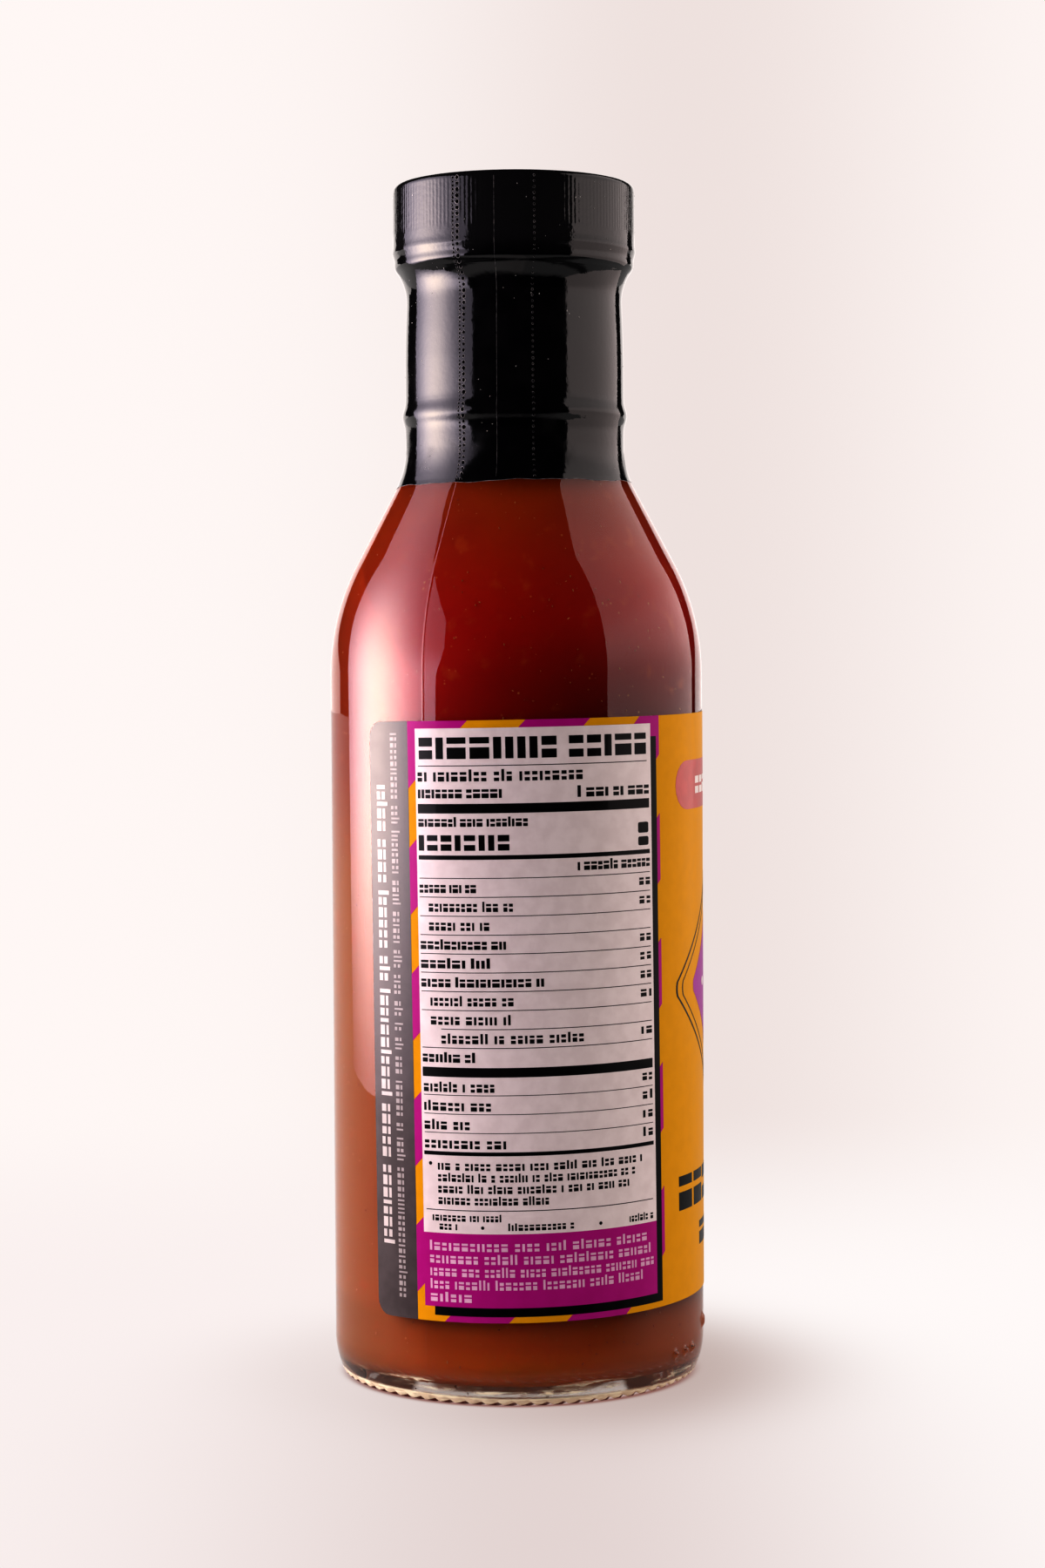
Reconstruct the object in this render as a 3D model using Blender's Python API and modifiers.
"""Hot sauce bottle: a shut round bottle of clear glass, full of dark red sauce.

A black screw cap closes it, a black shrink sleeve covers the cap's side and the neck, and a printed label is
wrapped round the body. Units are metres and +Z is up. The origin is the middle of the foot, on the surface that
the bottle stands on. Angles round the bottle are counted from its front, -Y, towards its right, +X.
"""
import math

import bmesh
import bpy
from mathutils import Vector

MM = 0.001
TURN_STEPS = 48
MERGE = 0.00001
GAP = 0.3 * MM

# Glass: body, shoulder and neck
BODY_RADIUS = 30.8 * MM
WALL = 2.4 * MM
SHOULDER_BASE_Z = 116.2 * MM
SHOULDER_ROUND = 39.5 * MM
SHOULDER_LEAN = math.radians(28.0)
NECK_RADIUS = 17.75 * MM
NECK_FILLET = 14.1 * MM
NECK_TOP_RADIUS = 17.45 * MM
NECK_TOP_Z = 178.5 * MM

# Glass: the ring moulded round the neck
RING_Z = 159.2 * MM
RING_RISE = 0.6 * MM
RING_ROUND = 5.1 * MM

# Glass: the finish under the cap
FINISH_RADIUS = 17.1 * MM
FINISH_Z = 180.5 * MM
MOUTH_Z = 194.4 * MM
LIP_ROUND = 0.7 * MM

# Glass: the foot
HEEL_Z = 6.5 * MM
HEEL_ROUND = 12.0 * MM
FOOT_ROUND = 1.6 * MM
BEARING_INNER_RADIUS = 26.2 * MM
PUSH_UP_RADIUS = 24.8 * MM
PUSH_UP_EDGE_Z = 0.9 * MM
PUSH_UP_Z = 2.8 * MM
FLOOR_THICKNESS = 3.2 * MM
FLOOR_FILLET = 4.2 * MM
FLOOR_EDGE_Z = 4.3 * MM

# Sauce: about 0.36 litre, so its level lies in the neck
FILL_Z = 171.0 * MM

# Screw cap
CAP_RADIUS = 19.5 * MM
CAP_TOP_Z = 196.45 * MM
CAP_FOOT_Z = 185.2 * MM
CAP_ROUND = 1.0 * MM
CAP_CHAMFER = 0.4 * MM
CAP_WALL = 1.5 * MM
CAP_PLATE = 1.6 * MM
BAND_Z = 187.8 * MM
BAND_GROOVE = 0.35 * MM

# Shrink sleeve
FILM = 0.25 * MM
SLEEVE_LIP = 1.4 * MM
COLLAR_FOOT_Z = 185.6 * MM
COLLAR_SAG_Z = 183.9 * MM
COLLAR_SAG = 0.45 * MM
WAIST_Z = 179.4 * MM
WAIST_ROUND_Z = 181.2 * MM
WAIST_ROUND = 0.75 * MM
HEM_Z = 147.6 * MM
HEM_LEAN = math.radians(1.2)
HEM_SPARE = 2.0 * MM

# Label
LABEL_THICKNESS = 0.2 * MM
LABEL_START = math.radians(-48.7)
LABEL_END = math.radians(266.0)
LABEL_FOOT_Z = 13.7 * MM
LABEL_HEIGHT = 95.6 * MM
LABEL_LEAN = math.radians(0.9)
LABEL_CORNER = 2.4 * MM
LABEL_COLUMNS = 48


def start_empty():
    """Remove what the scene holds."""
    for thing in list(bpy.data.objects):
        bpy.data.objects.remove(thing, do_unlink=True)


def new_collection(name):
    """A new collection in the scene."""
    collection = bpy.data.collections.new(name)
    bpy.context.scene.collection.children.link(collection)
    return collection


def finish_of(name, colour, roughness, transmission=0.0):
    """A material with one Principled shader."""
    material = bpy.data.materials.new(name)
    material.use_nodes = True
    shader = material.node_tree.nodes["Principled BSDF"]
    shader.inputs["Base Color"].default_value = (*colour, 1.0)
    shader.inputs["Roughness"].default_value = roughness
    shader.inputs["Metallic"].default_value = 0.0
    shader.inputs["Transmission Weight"].default_value = transmission
    material.diffuse_color = (*colour, 1.0)
    return material


def arc(centre, radius, start, end, steps):
    """Points (radius from the axis, height) on an arc; angles in radians, from outwards towards up."""
    points = []
    for i in range(steps + 1):
        angle = start + (end - start) * i / steps
        points.append((centre[0] + radius * math.cos(angle), centre[1] + radius * math.sin(angle)))
    return points


def neck_line(gap):
    """The neck's outer side down to the top of its fillet, this far outside the glass."""
    middle = NECK_RADIUS + RING_RISE - RING_ROUND
    reach = math.acos((NECK_RADIUS + gap - middle) / (RING_ROUND + gap))
    fillet_z = fillet_top_z()
    points = [(NECK_TOP_RADIUS + gap, NECK_TOP_Z)]
    points += arc((middle, RING_Z), RING_ROUND + gap, reach, -reach, 6)
    points += [(NECK_RADIUS + gap, fillet_z)]
    return points


def fillet_top_z():
    """Height at which the straight neck meets the fillet above the shoulder."""
    lean = SHOULDER_LEAN
    round_top_radius = BODY_RADIUS - SHOULDER_ROUND * (1 - math.cos(lean))
    round_top_z = SHOULDER_BASE_Z + SHOULDER_ROUND * math.sin(lean)
    fillet_foot_radius = NECK_RADIUS + NECK_FILLET * (1 - math.cos(lean))
    fillet_foot_z = round_top_z + (round_top_radius - fillet_foot_radius) / math.tan(lean)
    return fillet_foot_z + NECK_FILLET * math.sin(lean)


def shoulder_line(gap, top_steps, low_steps):
    """Fillet and shoulder, top to bottom, this far outside the outer face, or inside it where gap is negative."""
    fillet_centre = (NECK_RADIUS + NECK_FILLET, fillet_top_z())
    round_centre = (BODY_RADIUS - SHOULDER_ROUND, SHOULDER_BASE_Z)
    points = arc(fillet_centre, NECK_FILLET - gap, math.pi, math.pi + SHOULDER_LEAN, top_steps)
    points += arc(round_centre, SHOULDER_ROUND + gap, SHOULDER_LEAN, 0.0, low_steps)
    return points


def inner_line(gap):
    """The glass's inner face from the middle of its floor to the neck, this far inside it."""
    radius = BODY_RADIUS - WALL - gap
    fillet_radius = FLOOR_FILLET - gap
    corner = (BODY_RADIUS - WALL - FLOOR_FILLET, FLOOR_EDGE_Z + FLOOR_FILLET)
    middle_z = PUSH_UP_Z + FLOOR_THICKNESS + gap
    rise = middle_z - (corner[1] - fillet_radius)
    points = []
    for share in (0.0, 0.35, 0.7):
        points.append((corner[0] * share, middle_z - rise * share**2))
    points += arc(corner, fillet_radius, -math.pi / 2, 0.0, 4)
    upper = shoulder_line(-WALL - gap, 3, 5)
    upper.reverse()
    assert abs(upper[0][0] - radius) < MERGE
    return points + upper


def heel_line():
    """Outer side of the foot, from the body down to the outer edge of the bearing ring."""
    swing = math.asin((HEEL_Z - FOOT_ROUND) / (HEEL_ROUND - FOOT_ROUND))
    heel_centre = (BODY_RADIUS - HEEL_ROUND, HEEL_Z)
    foot_centre = (heel_centre[0] + (HEEL_ROUND - FOOT_ROUND) * math.cos(swing), FOOT_ROUND)
    points = arc(heel_centre, HEEL_ROUND, 0.0, -swing, 3)
    points += arc(foot_centre, FOOT_ROUND, -swing, -math.pi / 2, 3)[1:]
    return points


def push_up_line():
    """Underside, from the inner edge of the bearing ring to the middle."""
    points = [(BEARING_INNER_RADIUS, 0.0)]
    for share in (1.0, 0.7, 0.35, 0.0):
        z = PUSH_UP_Z - (PUSH_UP_Z - PUSH_UP_EDGE_Z) * share**2
        points.append((PUSH_UP_RADIUS * share, z))
    return points


def glass_profile():
    """Half section of the glass: up its inner face, over the lip and down its outer face."""
    bore = NECK_RADIUS - WALL
    lip_outer = (FINISH_RADIUS - LIP_ROUND, MOUTH_Z - LIP_ROUND)
    points = inner_line(0.0)
    points += [(bore, MOUTH_Z - LIP_ROUND), (bore + LIP_ROUND, MOUTH_Z)]
    points += arc(lip_outer, LIP_ROUND, math.pi / 2, 0.0, 2)
    points += [(FINISH_RADIUS, FINISH_Z)]
    points += neck_line(0.0)[:-1]
    points += shoulder_line(0.0, 4, 6)
    points += heel_line()
    points += push_up_line()
    return points


def sauce_profile():
    """Half section of the sauce, from the middle of its flat top down to the middle of its foot."""
    side = inner_line(GAP)
    side.reverse()
    return [(0.0, FILL_Z), (side[0][0], FILL_Z)] + side


def cap_profile():
    """Half section of the cap: up inside it, over its top and down its ribbed skirt to the seal band."""
    inner = CAP_RADIUS - CAP_WALL
    top_round = (CAP_RADIUS - CAP_ROUND, CAP_TOP_Z - CAP_ROUND)
    top = [(0.0, CAP_TOP_Z)] + arc(top_round, CAP_ROUND, math.pi / 2, 0.0, 3)
    band = [
        (CAP_RADIUS, BAND_Z + BAND_GROOVE),
        (CAP_RADIUS - BAND_GROOVE, BAND_Z),
        (CAP_RADIUS, BAND_Z - BAND_GROOVE),
    ]
    foot = [
        (CAP_RADIUS, CAP_FOOT_Z + CAP_CHAMFER),
        (CAP_RADIUS - CAP_CHAMFER, CAP_FOOT_Z),
        (inner, CAP_FOOT_Z),
        (inner, CAP_TOP_Z - CAP_PLATE),
        (0.0, CAP_TOP_Z - CAP_PLATE),
    ]
    return top + band + foot


def sleeve_line():
    """Inner side of the film, from its lip on the cap's top down past its hem."""
    side = CAP_RADIUS + GAP
    top_z = CAP_TOP_Z + GAP
    bend = CAP_ROUND + GAP
    points = [(side - bend - SLEEVE_LIP, top_z)]
    points += arc((side - bend, top_z - bend), bend, math.pi / 2, 0.0, 3)
    points += [
        (side, COLLAR_FOOT_Z),
        (side - COLLAR_SAG, COLLAR_SAG_Z),
        (NECK_TOP_RADIUS + GAP + WAIST_ROUND, WAIST_ROUND_Z),
        (NECK_TOP_RADIUS + GAP + FILM, WAIST_Z),
    ]
    points += neck_line(GAP)[:-1]
    fillet = shoulder_line(GAP, 5, 1)[:6]
    run = HEM_SPARE
    foot = fillet[-1]
    points += fillet
    points.append((foot[0] + run * math.sin(SHOULDER_LEAN), foot[1] - run * math.cos(SHOULDER_LEAN)))
    return points


def turned(name, points, material, collection):
    """A turned piece: its half section at +X with a Screw modifier."""
    mesh = bpy.data.meshes.new(name)
    edges = [(i, i + 1) for i in range(len(points) - 1)]
    mesh.from_pydata([(r, 0.0, z) for r, z in points], edges, [])
    piece = bpy.data.objects.new(name, mesh)
    collection.objects.link(piece)
    screw = piece.modifiers.new("Turn", "SCREW")
    screw.axis = "Z"
    screw.angle = 2 * math.pi
    screw.steps = TURN_STEPS
    screw.render_steps = TURN_STEPS
    screw.use_merge_vertices = True
    screw.merge_threshold = MERGE
    screw.use_smooth_shade = True
    piece.data.materials.append(material)
    return piece


def make_glass(collection):
    """The bottle, open at its mouth under the cap."""
    material = finish_of("clear_glass", (0.92, 0.94, 0.93), 0.03, transmission=1.0)
    return turned("glass_bottle", glass_profile(), material, collection)


def make_sauce(collection):
    """The sauce, up to a level in the neck."""
    material = finish_of("sauce", (0.24, 0.018, 0.006), 0.35)
    return turned("sauce", sauce_profile(), material, collection)


def make_cap(collection):
    """The screw cap, with the groove that parts its skirt from its seal band."""
    material = finish_of("black_plastic", (0.012, 0.012, 0.015), 0.4)
    return turned("cap", cap_profile(), material, collection)


def make_sleeve(collection, cutters):
    """The shrunk film over the cap's edge and the neck, its hem cut slightly askew."""
    material = finish_of("black_film", (0.008, 0.008, 0.011), 0.12)
    sleeve = turned("shrink_sleeve", sleeve_line(), material, collection)
    film = sleeve.modifiers.new("Film", "SOLIDIFY")
    film.thickness = FILM
    film.offset = 1.0
    film.use_even_offset = True

    size = 4 * BODY_RADIUS
    bm = bmesh.new()
    bmesh.ops.create_cube(bm, size=size)
    bmesh.ops.translate(bm, verts=bm.verts, vec=Vector((0.0, 0.0, -size / 2)))
    mesh = bpy.data.meshes.new("hem_cutter")
    bm.to_mesh(mesh)
    bm.free()
    cutter = bpy.data.objects.new("hem_cutter", mesh)
    cutter.location = (0.0, 0.0, HEM_Z)
    cutter.rotation_euler = (0.0, -HEM_LEAN, 0.0)
    cutter.display_type = "WIRE"
    cutter.hide_render = True
    cutters.objects.link(cutter)
    trim = sleeve.modifiers.new("Hem", "BOOLEAN")
    trim.operation = "DIFFERENCE"
    trim.object = cutter
    return sleeve


def label_outline(width):
    """The flat label's outline with round corners, lower left corner at the origin."""
    corner = LABEL_CORNER
    height = LABEL_HEIGHT
    centres = (
        ((width - corner, corner), -math.pi / 2),
        ((width - corner, height - corner), 0.0),
        ((corner, height - corner), math.pi / 2),
        ((corner, corner), math.pi),
    )
    points = []
    for centre, start in centres:
        points += arc(centre, corner, start, start + math.pi / 2, 4)
    return points


def make_label(collection):
    """The wrap label: a flat sheet cut into columns, bent round the body and given its thickness."""
    material = finish_of("label_print", (0.72, 0.33, 0.02), 0.4)
    radius = BODY_RADIUS + GAP
    width = radius * (LABEL_END - LABEL_START)
    bm = bmesh.new()
    bm.faces.new([bm.verts.new((x, y, 0.0)) for x, y in label_outline(width)])
    for i in range(1, LABEL_COLUMNS):
        cut = (width * i / LABEL_COLUMNS, 0.0, 0.0)
        bmesh.ops.bisect_plane(bm, geom=bm.verts[:] + bm.edges[:] + bm.faces[:], plane_co=cut, plane_no=(1, 0, 0))
    for vertex in bm.verts:
        angle = LABEL_START + vertex.co.x / radius
        height = LABEL_FOOT_Z + vertex.co.y + radius * angle * math.tan(LABEL_LEAN)
        vertex.co = (radius * math.sin(angle), -radius * math.cos(angle), height)
    mesh = bpy.data.meshes.new("label")
    bm.to_mesh(mesh)
    bm.free()
    mesh.shade_smooth()
    label = bpy.data.objects.new("label", mesh)
    collection.objects.link(label)
    sheet = label.modifiers.new("Sheet", "SOLIDIFY")
    sheet.thickness = LABEL_THICKNESS
    sheet.offset = 1.0
    label.data.materials.append(material)
    return label


def main():
    """Build the bottle."""
    start_empty()
    parts = new_collection("hot_sauce_bottle")
    cutters = new_collection("cutters")
    make_glass(parts)
    make_sauce(parts)
    make_cap(parts)
    make_sleeve(parts, cutters)
    make_label(parts)


main()
